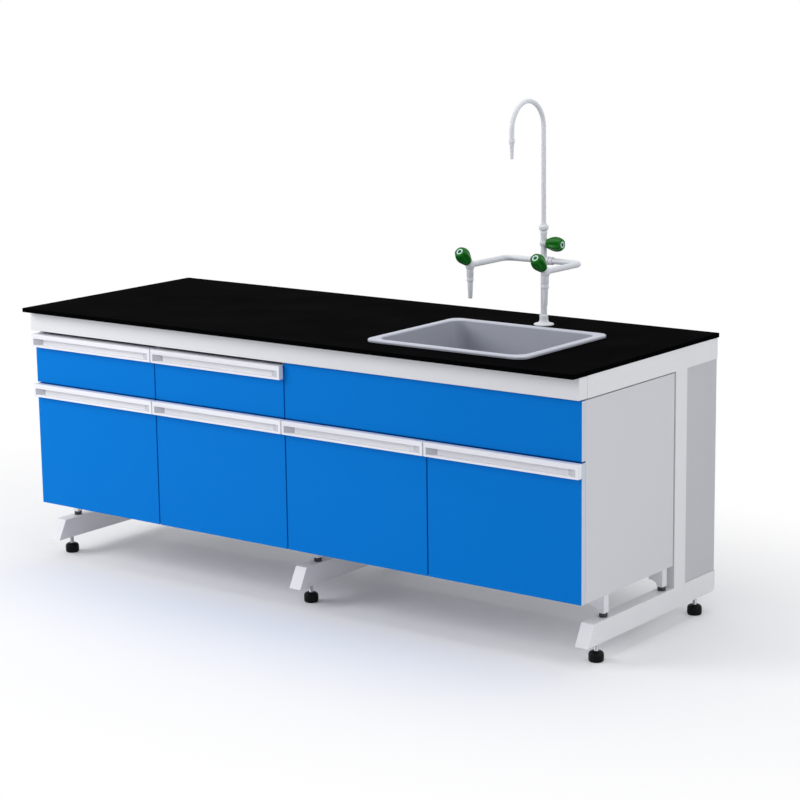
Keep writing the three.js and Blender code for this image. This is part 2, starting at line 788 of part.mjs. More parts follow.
function armGeometry(sign) {
  const start = tapTeeReach + knobClearance;
  const path = new THREE.CurvePath();
  const corner = new THREE.Vector3(sign * armReach, 0, 0);
  const bendStart = new THREE.Vector3(sign * (armReach - armBend), 0, 0);
  const bendEnd = new THREE.Vector3(sign * armReach, -armBend, 0);
  const end = new THREE.Vector3(sign * armReach, -armForward, 0);
  path.add(new THREE.LineCurve3(new THREE.Vector3(sign * start, 0, 0), bendStart));
  path.add(new THREE.QuadraticBezierCurve3(bendStart, corner, bendEnd));
  path.add(new THREE.LineCurve3(bendEnd, end));
  const ball = new THREE.SphereGeometry(armValveRadius, 20, 12).rotateX(Math.PI / 2);
  const nozzle = turned([
    [0, -nozzleLength + nozzleBoreDepth],
    [nozzleBoreRadius, -nozzleLength + nozzleBoreDepth],
    [nozzleBoreRadius, -nozzleLength],
    [nozzleTipRadius, -nozzleLength],
    [(nozzleTipRadius + nozzleTopRadius) / 2, -nozzleCollar - nozzleTopRadius],
    [nozzleTopRadius, -nozzleCollar],
    [nozzleTopRadius, 0],
    [0, 0],
  ]);
  const stub = tilted(rod(armStubRadius, 0, armStubReach));
  const spindle = tilted(rod(spindleRadius, 0, armStubReach + spindleLength));
  const fittings = [ball, nozzle, stub, spindle].map((piece) => piece.translate(end.x, end.y, end.z));
  return join(tube(path, armRadius, 44), ...fittings);
}

// Knob: a lobed barrel with a blind bore for the spindle, from its base at 0 along Z
function knobGeometry() {
  const sides = 8 * knobLobes;
  const ring = (radius, lobe, level) => {
    const points = [];
    for (let i = 0; i < sides; i += 1) {
      const angle = 2 * Math.PI * i / sides;
      const r = radius + lobe * Math.cos(knobLobes * angle);
      points.push(new THREE.Vector3(r * Math.cos(angle), r * Math.sin(angle), level));
    }
    return points;
  };
  const bore = spindleRadius + knobClearance;
  return skin([
    ring(bore, 0, spindleLength + knobClearance),
    ring(bore, 0, 0),
    ring(knobBaseRadius, 0, 0),
    ring((knobRadius + knobBaseRadius) / 2, knobLobeDepth / 2, knobLength * 0.2),
    ring(knobRadius, knobLobeDepth, knobLength * 0.5),
    ring(knobRadius - knobLobeDepth, knobLobeDepth, knobLength * 0.75),
    ring(knobEndRadius, knobLobeDepth / 2, knobLength * 0.95),
    ring(knobEndRadius - knobLobeDepth, 0, knobLength),
  ], false);
}

for (const [side, sign] of [['left', -1], ['right', 1]]) {
  place(tap, `tap_${side}_arm`, armGeometry(sign), whiteCoat, [0, 0, tapTeeHeight]);
  const seat = groupAt(tap, [sign * armReach, -armForward, tapTeeHeight]);
  const knob = place(seat, `tap_${side}_knob`, knobGeometry(), greenPlastic);
  knob.rotation.x = Math.PI / 2 - knobTilt;
  knob.translateZ(armStubReach + knobClearance);
}
const spoutSeat = [tapValveReach + knobClearance, 0, tapValveHeight];
place(tap, 'tap_spout_knob', knobGeometry(), greenPlastic, spoutSeat).rotation.y = Math.PI / 2;

// Gooseneck: swivel nut with a spigot in the column, tube over an arch, collar and nozzle
function gooseneckGeometry() {
  const archRadius = gooseneckReach / 2;
  const legEnd = gooseneckArchHeight - gooseneckDrop;
  const at = (y, z) => new THREE.Vector3(0, y, z);
  const archPoint = (share) => {
    const angle = Math.PI * share;
    return at(-archRadius + archRadius * Math.cos(angle), gooseneckArchHeight + archRadius * Math.sin(angle));
  };
  const archSteps = 16;
  const points = [at(0, swivelNutHeight / 2), at(0, gooseneckArchHeight / 3), at(0, gooseneckArchHeight * 2 / 3)];
  for (let step = 0; step <= archSteps; step += 1) {
    points.push(archPoint(step / archSteps));
  }
  points.push(at(-gooseneckReach, legEnd));
  const pipe = tube(new THREE.CatmullRomCurve3(points, false, 'centripetal'), gooseneckRadius, 56);
  const nut = turned([
    [0, -tapBoreDepth + knobClearance],
    [spigotRadius, -tapBoreDepth + knobClearance],
    [spigotRadius, knobClearance],
    [swivelNutRadius - 3, knobClearance],
    [swivelNutRadius, swivelNutHeight * 0.3],
    [swivelNutRadius, swivelNutHeight * 0.55],
    [gooseneckRadius, swivelNutHeight],
    [0, swivelNutHeight],
  ]);
  const tip = turned([
    [0, legEnd - gooseneckCollarHeight - gooseneckTipLength + nozzleBoreDepth],
    [nozzleBoreRadius, legEnd - gooseneckCollarHeight - gooseneckTipLength + nozzleBoreDepth],
    [nozzleBoreRadius, legEnd - gooseneckCollarHeight - gooseneckTipLength],
    [gooseneckTipRadius, legEnd - gooseneckCollarHeight - gooseneckTipLength],
    [gooseneckRadius, legEnd - gooseneckCollarHeight],
    [gooseneckCollarRadius, legEnd - gooseneckCollarHeight],
    [gooseneckCollarRadius, legEnd],
    [0, legEnd],
  ]);
  return join(pipe, nut, tip.translate(0, -gooseneckReach, 0));
}
place(tap, 'tap_gooseneck', gooseneckGeometry(), whiteCoat, [0, 0, tapColumnHeight]);

export default unit;
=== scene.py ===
import math

import bmesh
import bpy
from mathutils import Matrix, Quaternion, Vector


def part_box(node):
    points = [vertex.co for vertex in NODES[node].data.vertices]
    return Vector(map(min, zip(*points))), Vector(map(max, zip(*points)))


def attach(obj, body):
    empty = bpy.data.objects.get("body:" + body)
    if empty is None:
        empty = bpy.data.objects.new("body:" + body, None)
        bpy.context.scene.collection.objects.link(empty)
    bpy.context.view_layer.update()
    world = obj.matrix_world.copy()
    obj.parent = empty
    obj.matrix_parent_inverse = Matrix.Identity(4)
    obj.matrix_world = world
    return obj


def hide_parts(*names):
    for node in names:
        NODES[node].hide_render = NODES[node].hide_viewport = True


# Looks of the laboratory sink unit, in metres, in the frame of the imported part.

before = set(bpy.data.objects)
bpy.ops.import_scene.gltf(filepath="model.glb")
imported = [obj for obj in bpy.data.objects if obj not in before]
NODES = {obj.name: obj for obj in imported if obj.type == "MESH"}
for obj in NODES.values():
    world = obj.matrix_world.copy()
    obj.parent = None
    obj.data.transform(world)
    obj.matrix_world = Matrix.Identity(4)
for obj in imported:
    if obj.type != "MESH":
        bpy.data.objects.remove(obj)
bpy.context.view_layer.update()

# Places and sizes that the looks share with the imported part
SINK_X = 0.513
SINK_Y = -0.060
TOP_Z = 0.800
TOP_THICKNESS = 0.0127
RIM_LENGTH = 0.532
RIM_DEPTH = 0.434
RIM_WIDTH = 0.024
RIM_HEIGHT = 0.008
RIM_RADIUS = 0.032
BOWL_RADIUS = 0.042
BOWL_DEPTH = 0.250
BOWL_WALL = 0.005
BOWL_TAPER = 0.014
FLOOR_FILLET = 0.022
WASTE_HOLE = 0.026
TAP_Y = 0.224
ARM_REACH = 0.127
ARM_FORWARD = 0.184
TEE_LEVEL = 0.186
TEE_BALL = 0.0128
VALVE_LEVEL = 0.235
COLUMN_TOP = 0.272
ARM_TUBE = 0.0085
ARM_BEND = 0.026
NECK_TUBE = 0.0068
KNOB_TILT = math.radians(41)
KNOB_LENGTH = 0.050
KNOB_LOBES = 6
KNOB_SEAT = 0.0163
SPOUT_KNOB_SEAT = 0.0133
FOOT_BEAM_TOP = 0.115
WASTE_TAIL = 0.062
TRAP_DROP = 0.034
LEG_NAMES = ("left", "middle", "right")
DOOR_NAMES = (
    "left_cabinet_left_door",
    "left_cabinet_right_door",
    "right_cabinet_left_door",
    "right_cabinet_right_door",
)
DRAWER_NAMES = ("left_drawer", "right_drawer")
END_EDGE = 0.990

# Width and steps of the rounding on edges
TOP_EDGE = (0.0012, 3)
TUBE_EDGE = (0.0022, 4)
SHEET_EDGE = (0.0008, 2)
BOARD_EDGE = (0.0005, 2)
PULL_EDGE = (0.0010, 3)
HINGE_EDGE = (0.0012, 3)

# Where a handle's finger recess starts, behind its face and in from its ends
RECESS_START = 0.0022
RECESS_END = 0.006


# Colours

def linear(red, green, blue):
    """Turns an sRGB colour in 0 to 255 into the linear colour that shaders take."""
    values = []
    for part in (red, green, blue):
        share = part / 255
        values.append(share / 12.92 if share <= 0.04045 else ((share + 0.055) / 1.055) ** 2.4)
    return (*values, 1.0)


# Shader groups

def grain_group():
    """A fine grain from object coordinates: a value around one half, and a bumped normal."""
    group = bpy.data.node_groups.new("fine_grain", "ShaderNodeTree")
    group.interface.new_socket("Scale", in_out="INPUT", socket_type="NodeSocketFloat")
    group.interface.new_socket("Bump", in_out="INPUT", socket_type="NodeSocketFloat")
    group.interface.new_socket("Value", in_out="OUTPUT", socket_type="NodeSocketFloat")
    group.interface.new_socket("Normal", in_out="OUTPUT", socket_type="NodeSocketVector")
    nodes, links = group.nodes, group.links
    given = nodes.new("NodeGroupInput")
    result = nodes.new("NodeGroupOutput")
    place = nodes.new("ShaderNodeTexCoord")
    fine = nodes.new("ShaderNodeTexNoise")
    fine.inputs["Detail"].default_value = 4.0
    bump = nodes.new("ShaderNodeBump")
    bump.inputs["Distance"].default_value = 0.0004
    links.new(place.outputs["Object"], fine.inputs["Vector"])
    links.new(given.outputs["Scale"], fine.inputs["Scale"])
    links.new(given.outputs["Bump"], bump.inputs["Strength"])
    links.new(fine.outputs["Fac"], bump.inputs["Height"])
    links.new(fine.outputs["Fac"], result.inputs["Value"])
    links.new(bump.outputs["Normal"], result.inputs["Normal"])
    return group


def cloud_group():
    """Broad soft clouds from object coordinates, for handling marks and uneven sheen."""
    group = bpy.data.node_groups.new("soft_clouds", "ShaderNodeTree")
    group.interface.new_socket("Scale", in_out="INPUT", socket_type="NodeSocketFloat")
    group.interface.new_socket("Low", in_out="INPUT", socket_type="NodeSocketFloat")
    group.interface.new_socket("High", in_out="INPUT", socket_type="NodeSocketFloat")
    group.interface.new_socket("Value", in_out="OUTPUT", socket_type="NodeSocketFloat")
    nodes, links = group.nodes, group.links
    given = nodes.new("NodeGroupInput")
    result = nodes.new("NodeGroupOutput")
    place = nodes.new("ShaderNodeTexCoord")
    broad = nodes.new("ShaderNodeTexNoise")
    broad.inputs["Detail"].default_value = 3.0
    spread = nodes.new("ShaderNodeMapRange")
    spread.inputs["From Min"].default_value = 0.3
    spread.inputs["From Max"].default_value = 0.7
    links.new(place.outputs["Object"], broad.inputs["Vector"])
    links.new(given.outputs["Scale"], broad.inputs["Scale"])
    links.new(broad.outputs["Fac"], spread.inputs["Value"])
    links.new(given.outputs["Low"], spread.inputs["To Min"])
    links.new(given.outputs["High"], spread.inputs["To Max"])
    links.new(spread.outputs["Result"], result.inputs["Value"])
    return group


def seen_group():
    """One for rays that show what they hit: straight from the camera, mirrored or through glass."""
    group = bpy.data.node_groups.new("seen_rays", "ShaderNodeTree")
    group.interface.new_socket("Seen", in_out="OUTPUT", socket_type="NodeSocketFloat")
    nodes, links = group.nodes, group.links
    result = nodes.new("NodeGroupOutput")
    path = nodes.new("ShaderNodeLightPath")
    mirrored = nodes.new("ShaderNodeMath")
    mirrored.operation = "MAXIMUM"
    shown = nodes.new("ShaderNodeMath")
    shown.operation = "MAXIMUM"
    links.new(path.outputs["Is Glossy Ray"], mirrored.inputs[0])
    links.new(path.outputs["Is Transmission Ray"], mirrored.inputs[1])
    links.new(path.outputs["Is Camera Ray"], shown.inputs[0])
    links.new(mirrored.outputs["Value"], shown.inputs[1])
    links.new(shown.outputs["Value"], result.inputs["Seen"])
    return group


FINE_GRAIN = grain_group()
SOFT_CLOUDS = cloud_group()
SEEN_RAYS = seen_group()


# Materials

def surface(name, colour, roughness, grain=900.0, bump=0.05, shade=0.04, sheen=0.06, metallic=0.0, coat=0.0,
            gloss=0.5):
    """A coated or moulded surface: grain in colour and normal, clouds in roughness."""
    material = bpy.data.materials.new(name)
    material.use_nodes = True
    nodes, links = material.node_tree.nodes, material.node_tree.links
    shader = nodes["Principled BSDF"]
    shader.inputs["Metallic"].default_value = metallic
    shader.inputs["Specular IOR Level"].default_value = gloss
    shader.inputs["Coat Weight"].default_value = coat
    shader.inputs["Coat Roughness"].default_value = 0.15
    fine = nodes.new("ShaderNodeGroup")
    fine.node_tree = FINE_GRAIN
    fine.inputs["Scale"].default_value = grain
    fine.inputs["Bump"].default_value = bump
    clouds = nodes.new("ShaderNodeGroup")
    clouds.node_tree = SOFT_CLOUDS
    clouds.inputs["Scale"].default_value = 6.0
    clouds.inputs["Low"].default_value = roughness - sheen
    clouds.inputs["High"].default_value = roughness + sheen
    tone = nodes.new("ShaderNodeMix")
    tone.data_type = "RGBA"
    base = linear(*colour)
    tone.inputs["A"].default_value = (*[part * (1 - shade) for part in base[:3]], 1)
    tone.inputs["B"].default_value = (*[min(1, part * (1 + shade)) for part in base[:3]], 1)
    links.new(fine.outputs["Value"], tone.inputs["Factor"])
    links.new(tone.outputs["Result"], shader.inputs["Base Color"])
    links.new(fine.outputs["Normal"], shader.inputs["Normal"])
    links.new(clouds.outputs["Value"], shader.inputs["Roughness"])
    return material


BLACK_TOP = surface("black_worktop_board", (5, 5, 6), 0.60, grain=1400, bump=0.05, shade=0.25, gloss=0.0005)
WHITE_STEEL = surface("white_powder_coat", (227, 227, 229), 0.42, bump=0.06, shade=0.02, gloss=0.4)
GREY_SHEET = surface("grey_coated_sheet", (194, 194, 198), 0.55, grain=1000, bump=0.05, gloss=0.3)
GREY_BOARD = surface("grey_melamine", (212, 212, 216), 0.55, grain=1500, bump=0.04, gloss=0.3)
BLUE_BOARD = surface("blue_melamine", (0, 119, 208), 0.50, grain=1500, bump=0.04, shade=0.03, gloss=0.04)
EDGE_BAND = surface("pale_edge_band", (205, 210, 220), 0.50, grain=1300, bump=0.03, gloss=0.3)
# Painted shade on the handles: the recess and its two sloped ends are darker copies of the white handle
# plastic.
PULL_RECESS_SHADE = surface("handle_recess_painted_shade", (232, 232, 235), 0.50, bump=0.03, shade=0.02, gloss=0.3)
PULL_LEFT_END_SHADE = surface("handle_left_end_painted_shade", (172, 174, 180), 0.50, bump=0.03, shade=0.03, gloss=0.3)
PULL_RIGHT_END_SHADE = surface("handle_right_end_painted_shade", (200, 202, 207), 0.50, bump=0.03, shade=0.03, gloss=0.3)
WHITE_PULL = surface("white_handle_plastic", (238, 238, 242), 0.45, bump=0.03, shade=0.02, gloss=0.35)
BLACK_PAD = surface("black_pad_plastic", (6, 6, 7), 0.50, grain=800, bump=0.10, shade=0.2, gloss=0.12)
DARK_BUSH = surface("dark_bush", (58, 59, 64), 0.55, grain=700, bump=0.10, shade=0.15, gloss=0.3)
ZINC = surface("zinc_plate", (190, 192, 196), 0.34, grain=600, bump=0.06, shade=0.08, metallic=1.0)
GREY_SINK = surface("grey_polypropylene", (164, 167, 177), 0.50, bump=0.04, shade=0.03, gloss=0.3)
# Painted highlight: the rim's top is a lighter copy of the bowl's grey, for the light that falls on it.
SINK_RIM_HIGHLIGHT = surface("grey_polypropylene_rim_highlight", (190, 193, 204), 0.45, bump=0.04, shade=0.03, gloss=0.4)
WHITE_PIPE = surface("white_waste_pipe", (232, 233, 236), 0.36, grain=700, bump=0.02, shade=0.02)
TAP_COAT = surface("light_epoxy_coat", (222, 224, 228), 0.40, grain=60, bump=0.0, shade=0.015, gloss=0.4)
GREEN_KNOB = surface("green_knob_plastic", (0, 98, 8), 0.38, grain=500, bump=0.02, coat=0.05, gloss=0.14)
MINT_RING = surface("mint_index_ring", (190, 232, 208), 0.45, grain=500, bump=0.02)
# Painted shade: a flat dark disc that stands for the shaded inside of a hole.
KNOB_HOLE_SHADE = surface("painted_hole_shade", (16, 34, 40), 0.60, grain=600, bump=0.05, shade=0.2)


# Mesh makers

def new_object(name, mesh, *materials):
    """Adds a mesh object to the scene with its materials in slots."""
    piece = bpy.data.objects.new(name, mesh)
    bpy.context.scene.collection.objects.link(piece)
    for material in materials:
        mesh.materials.append(material)
    return piece


def from_bmesh(name, shape, smooth_angle=40):
    """Makes a mesh of a bmesh, with outward normals and edges sharp above an angle."""
    bmesh.ops.recalc_face_normals(shape, faces=shape.faces)
    mesh = bpy.data.meshes.new(name)
    shape.to_mesh(mesh)
    shape.free()
    mesh.shade_smooth()
    mesh.set_sharp_from_angle(angle=math.radians(smooth_angle))
    return mesh


def applied(piece):
    """Puts an object's modifiers into its mesh and removes them."""
    graph = bpy.context.evaluated_depsgraph_get()
    mesh = bpy.data.meshes.new_from_object(piece.evaluated_get(graph))
    piece.modifiers.clear()
    piece.data = mesh
    return piece


def rings_into(shape, rings, cap_start=False, cap_end=False, closes=False):
    """Adds a skin of quads through rings of points to a bmesh."""
    rows = [[shape.verts.new(point) for point in ring] for ring in rings]
    pairs = list(zip(rows, rows[1:]))
    if closes:
        pairs.append((rows[-1], rows[0]))
    for lower, upper in pairs:
        count = len(lower)
        for i in range(count):
            after = (i + 1) % count
            shape.faces.new((lower[i], lower[after], upper[after], upper[i]))
    if cap_start:
        shape.faces.new(list(reversed(rows[0])))
    if cap_end:
        shape.faces.new(rows[-1])
    return shape


def circle(radius, level, sides, lobes=0, depth=0.0):
    """Points of a circle at a level, with optional lobes."""
    points = []
    for i in range(sides):
        angle = 2 * math.pi * i / sides
        reach = radius + depth * math.cos(lobes * angle)
        points.append(Vector((reach * math.cos(angle), reach * math.sin(angle), level)))
    return points


def lathe(shape, profile, sides=64, matrix=Matrix()):
    """Adds a turned form from (radius, level) points; both ends are capped."""
    rings = [[matrix @ point for point in circle(max(r, 0.0001), z, sides)] for r, z in profile]
    return rings_into(shape, rings, cap_start=True, cap_end=True)


def sweep(shape, points, radius, sides=32):
    """Adds a round tube through points, with its section carried along the path."""
    rings = []
    across = None
    for i, point in enumerate(points):
        before = points[max(i - 1, 0)]
        after = points[min(i + 1, len(points) - 1)]
        along = (after - before).normalized()
        if across is None:
            across = along.orthogonal().normalized()
        across = (across - along * across.dot(along)).normalized()
        beside = along.cross(across)
        ring = []
        for step in range(sides):
            angle = 2 * math.pi * step / sides
            ring.append(point + radius * (math.cos(angle) * across + math.sin(angle) * beside))
        rings.append(ring)
    return rings_into(shape, rings, cap_start=True, cap_end=True)


def arc(centre, start, end, steps):
    """Points on a circular arc from start to end about a centre, both at the same distance."""
    first, last = start - centre, end - centre
    turn = first.rotation_difference(last)
    whole = Quaternion()
    return [centre + whole.slerp(turn, step / steps) @ first for step in range(steps + 1)]


def box_into(shape, low, high):
    """Adds a box between two corners to a bmesh."""
    low, high = Vector(low), Vector(high)
    size = high - low
    matrix = Matrix.Translation((low + high) / 2) @ Matrix.Diagonal((*size, 1))
    bmesh.ops.create_cube(shape, size=1.0, matrix=matrix)
    return shape


def finish_piece(piece, body, slot, *nodes):
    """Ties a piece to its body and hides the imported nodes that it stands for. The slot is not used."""
    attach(piece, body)
    if nodes:
        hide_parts(*nodes)
    return piece


# Dressing of flat-faced pieces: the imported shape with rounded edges

def rounded_copy(node, width, segments, *materials):
    """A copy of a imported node's mesh with clean faces and rounded edges."""
    shape = bmesh.new()
    shape.from_mesh(NODES[node].data)
    bmesh.ops.remove_doubles(shape, verts=shape.verts, dist=0.00002)
    flat = math.radians(0.5)
    bmesh.ops.dissolve_limit(shape, angle_limit=flat, verts=shape.verts, edges=shape.edges)
    mesh = from_bmesh(f"{node}_look", shape, 30)
    mesh.materials.clear()
    piece = new_object(f"{node}_look", mesh, *materials)
    bevel = piece.modifiers.new("rounding", "BEVEL")
    bevel.width = width
    bevel.segments = segments
    bevel.limit_method = "ANGLE"
    bevel.angle_limit = math.radians(30)
    bevel.harden_normals = True
    applied(piece)
    return piece


def dress(node, body, slot, width, segments, *materials):
    """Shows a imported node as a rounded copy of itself."""
    piece = rounded_copy(node, width, segments, *materials)
    return finish_piece(piece, body, slot, node)


def band_edges(piece, on_top=False):
    """Gives the upright edges at the unit's two ends, and on request the top edge, the second material. The
    upright edges between fronts keep the blue, as painted shade in the gaps.
    """
    for face in piece.data.polygons:
        at_end = abs(face.center.x) > END_EDGE and abs(face.normal.x) > 0.5
        at_top = on_top and face.normal.z > 0.5
        face.material_index = 1 if at_end or at_top else 0
    return piece


def paint_recess_shade(piece):
    """Paints shade into a handle's finger recess, all of the same white plastic: a little on its back face,
    most on the left sloped end, less on the right one.
    """
    front = min(vertex.co.y for vertex in piece.data.vertices)
    left = min(vertex.co.x for vertex in piece.data.vertices)
    right = max(vertex.co.x for vertex in piece.data.vertices)
    for face in piece.data.polygons:
        between_ends = left + RECESS_END < face.center.x < right - RECESS_END
        inside = between_ends and face.center.y > front + RECESS_START
        # Sloped ends: painted shade, darkest on the left end, which faces right, lighter on the right end.
        if inside and abs(face.normal.x) > 0.3 and face.area > 0.00002:
            face.material_index = 2 if face.normal.x > 0 else 3
        elif inside and face.normal.y < -0.5:
            face.material_index = 1
    return piece


# Worktop, frame and panels
dress("worktop", "unit", "black_worktop", *TOP_EDGE, BLACK_TOP)
for rail in ("front_rail", "rear_rail"):
    dress(rail, "unit", "white_frame", *TUBE_EDGE, WHITE_STEEL)
for side in LEG_NAMES:
    dress(f"leg_frame_{side}", "unit", "white_frame", *TUBE_EDGE, WHITE_STEEL)
for side in ("left", "right"):
    dress(f"end_panel_{side}", "unit", "grey_panel", *SHEET_EDGE, GREY_SHEET)


# Cabinet boards
BOARDS = (
    "left_cabinet_left_side",
    "left_cabinet_right_side",
    "left_cabinet_bottom",
    "left_cabinet_back",
    "left_cabinet_partition",
    "right_cabinet_left_side",
    "right_cabinet_right_side",
    "right_cabinet_bottom",
    "right_cabinet_back",
)
for board in BOARDS:
    dress(board, "unit", "grey_board", *BOARD_EDGE, GREY_BOARD)

# Fronts with pale edge bands, and their pull handles
PULL_PLASTIC_AND_SHADES = (WHITE_PULL, PULL_RECESS_SHADE, PULL_LEFT_END_SHADE, PULL_RIGHT_END_SHADE)
band_edges(dress("sink_apron", "unit", "blue_front", *SHEET_EDGE, BLUE_BOARD, EDGE_BAND))
for door in DOOR_NAMES:
    band_edges(dress(door, door, "blue_front", *SHEET_EDGE, BLUE_BOARD, EDGE_BAND))
    paint_recess_shade(dress(f"{door}_handle", door, "white_handle", *PULL_EDGE, *PULL_PLASTIC_AND_SHADES))
for drawer in DRAWER_NAMES:
    front = dress(f"{drawer}_front", drawer, "blue_front", *SHEET_EDGE, BLUE_BOARD, EDGE_BAND)
    band_edges(front, on_top=True)
    paint_recess_shade(dress(f"{drawer}_handle", drawer, "white_handle", *PULL_EDGE, *PULL_PLASTIC_AND_SHADES))
    dress(f"{drawer}_box", drawer, "grey_board", *SHEET_EDGE, GREY_BOARD)
    for side in ("left", "right"):
        dress(f"{drawer}_runner_{side}", "unit", "zinc_steel", *BOARD_EDGE, ZINC)


# Hinges: arms on the cabinet, cups in the doors
SCREW_HEAD = ((0, -0.001), (0.0038, -0.001), (0.0038, 0.0006), (0.0026, 0.0016), (0, 0.0018))
SCREW_SPACING = 0.033
CUP_FLANGE = ((0, -0.001), (0.0175, -0.001), (0.0175, 0.0001), (0.0165, 0.0002), (0, 0.0002))


def hinge_screws(node, inward):
    """Two screw heads on a hinge arm's plate."""
    low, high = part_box(node)
    shape = bmesh.new()
    middle = (low[2] + high[2]) / 2
    face = low[0] + 0.004 if inward > 0 else high[0] - 0.004
    for level in (middle - SCREW_SPACING / 2, middle + SCREW_SPACING / 2):
        seat = Matrix.Translation((face, high[1] - 0.012, level))
        turn = seat @ Matrix.Rotation(inward * math.pi / 2, 4, "Y")
        lathe(shape, SCREW_HEAD, 24, turn)
    piece = new_object(f"{node}_screws", from_bmesh("screws", shape), ZINC)
    return finish_piece(piece, "unit", "zinc_steel")


def hinge_cup(door, node, inward):
    """A hinge cup's flange let into the back of a door."""
    low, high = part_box(node)
    edge = low[0] if inward > 0 else high[0]
    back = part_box(door)[1][1]
    centre = Vector((edge + inward * 0.004, back, (low[2] + high[2]) / 2))
    turn = Matrix.Translation(centre) @ Matrix.Rotation(-math.pi / 2, 4, "X")
    shape = bmesh.new()
    lathe(shape, CUP_FLANGE, 48, turn)
    piece = new_object(f"{door}_cup", from_bmesh("cup", shape), ZINC)
    return finish_piece(piece, door, "zinc_steel")


for index, door in enumerate(DOOR_NAMES):
    inward = 1 if index % 2 == 0 else -1
    for end in ("upper", "lower"):
        arm = f"{door}_{end}_hinge_arm"
        dress(arm, "unit", "zinc_steel", *HINGE_EDGE, ZINC)
        hinge_screws(arm, inward)
        hinge_cup(door, arm, inward)


# Levelling feet: moulded pad and threaded stud
def thread_tree():
    """Geometry nodes that stand copies of one thread ring up a line."""
    tree = bpy.data.node_groups.new("thread_rings", "GeometryNodeTree")
    tree.interface.new_socket("Geometry", in_out="INPUT", socket_type="NodeSocketGeometry")
    tree.interface.new_socket("Rings", in_out="INPUT", socket_type="NodeSocketInt")
    tree.interface.new_socket("Pitch", in_out="INPUT", socket_type="NodeSocketFloat")
    tree.interface.new_socket("Geometry", in_out="OUTPUT", socket_type="NodeSocketGeometry")
    nodes, links = tree.nodes, tree.links
    given = nodes.new("NodeGroupInput")
    result = nodes.new("NodeGroupOutput")
    step = nodes.new("ShaderNodeCombineXYZ")
    line = nodes.new("GeometryNodeMeshLine")
    copies = nodes.new("GeometryNodeInstanceOnPoints")
    whole = nodes.new("GeometryNodeRealizeInstances")
    joined = nodes.new("GeometryNodeMergeByDistance")
    joined.inputs["Distance"].default_value = 0.00002
    coat = nodes.new("GeometryNodeSetMaterial")
    coat.inputs["Material"].default_value = ZINC
    links.new(given.outputs["Pitch"], step.inputs["Z"])
    links.new(given.outputs["Rings"], line.inputs["Count"])
    links.new(step.outputs["Vector"], line.inputs["Offset"])
    links.new(line.outputs["Mesh"], copies.inputs["Points"])
    links.new(given.outputs["Geometry"], copies.inputs["Instance"])
    links.new(copies.outputs["Instances"], whole.inputs["Geometry"])
    links.new(whole.outputs["Geometry"], joined.inputs["Geometry"])
    links.new(joined.outputs["Geometry"], coat.inputs["Geometry"])
    links.new(coat.outputs["Geometry"], result.inputs["Geometry"])
    return tree


THREAD_TREE = thread_tree()
THREAD_RINGS = 17
THREAD_PITCH = 0.0015
PAD_TOP = 0.0295


def stud_mesh(centre_x, centre_y):
    """A threaded stud from the pad up into the beam, as a plain closed mesh at the foot's place."""
    shape = bmesh.new()
    place = Matrix.Translation((centre_x, centre_y, PAD_TOP))
    thread = ((0.0054, 0), (0.0060, 0.0006), (0.0060, 0.0009), (0.0054, THREAD_PITCH))
    rings_into(shape, [[place @ point for point in circle(radius, level, 32)] for radius, level in thread])
    piece = new_object("stud", from_bmesh("stud", shape, 50), ZINC)
    rings = piece.modifiers.new("rings", "NODES")
    rings.node_group = THREAD_TREE
    sizes = {"Rings": THREAD_RINGS, "Pitch": THREAD_PITCH}
    for item in THREAD_TREE.interface.items_tree:
        if item.name in sizes:
            rings[item.identifier] = sizes[item.name]
    applied(piece)
    whole = bmesh.new()
    whole.from_mesh(piece.data)
    bmesh.ops.holes_fill(whole, edges=whole.edges)
    piece.data = from_bmesh("stud", whole, 50)
    piece.data.materials.append(ZINC)
    return piece


def levelling_foot(node, body):
    """A rounded black pad with its stud."""
    low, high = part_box(node)
    x, y = (low[0] + high[0]) / 2, (low[1] + high[1]) / 2
    shape = bmesh.new()
    profile = [(0, 0), (0.0155, 0), (0.0185, 0.0008), (0.0203, 0.0030), (0.0210, 0.0065), (0.0210, 0.0185)]
    profile += [(0.0206, 0.0220), (0.0192, 0.0252), (0.0168, 0.0275), (0.0135, 0.0290)]
    profile += [(0.0118, 0.0297), (0, 0.0300)]
    lathe(shape, profile, 64, Matrix.Translation((x, y, 0)))
    pad = new_object(f"{node}_look", from_bmesh("pad", shape, 50), BLACK_PAD)
    finish_piece(pad, body, "black_pad", node)
    stud = stud_mesh(x, y)
    stud.name = f"{node}_stud"
    finish_piece(stud, body, "zinc_steel")


for side in LEG_NAMES:
    for end in ("front", "rear"):
        levelling_foot(f"levelling_foot_{side}_{end}", f"foot_{side}_{end}")


# Dark bushes round the necks of the cabinet brackets
LEG_CENTRES = {"left": -0.9785, "middle": 0.0, "right": 0.9785}
NECK_OFFSETS = {"left": -0.001, "middle": 0.001, "right": 0.001}
NECK_PLACES = {"front": -0.195, "rear": 0.107}


def neck_bush(side, end):
    """A dark bush between the foot beam and a cabinet bracket."""
    x = LEG_CENTRES[side] + NECK_OFFSETS[side]
    place = Matrix.Translation((x, NECK_PLACES[end], FOOT_BEAM_TOP))
    shape = bmesh.new()
    profile = [(0, 0.0002), (0.0112, 0.0002), (0.0116, 0.0010), (0.0116, 0.0100)]
    profile += [(0.0110, 0.0112), (0, 0.0116)]
    lathe(shape, profile, 48, place)
    piece = new_object(f"neck_bush_{side}_{end}", from_bmesh("bush", shape), DARK_BUSH)
    return finish_piece(piece, "unit", "black_pad")


for side in LEG_NAMES:
    for end in NECK_PLACES:
        neck_bush(side, end)


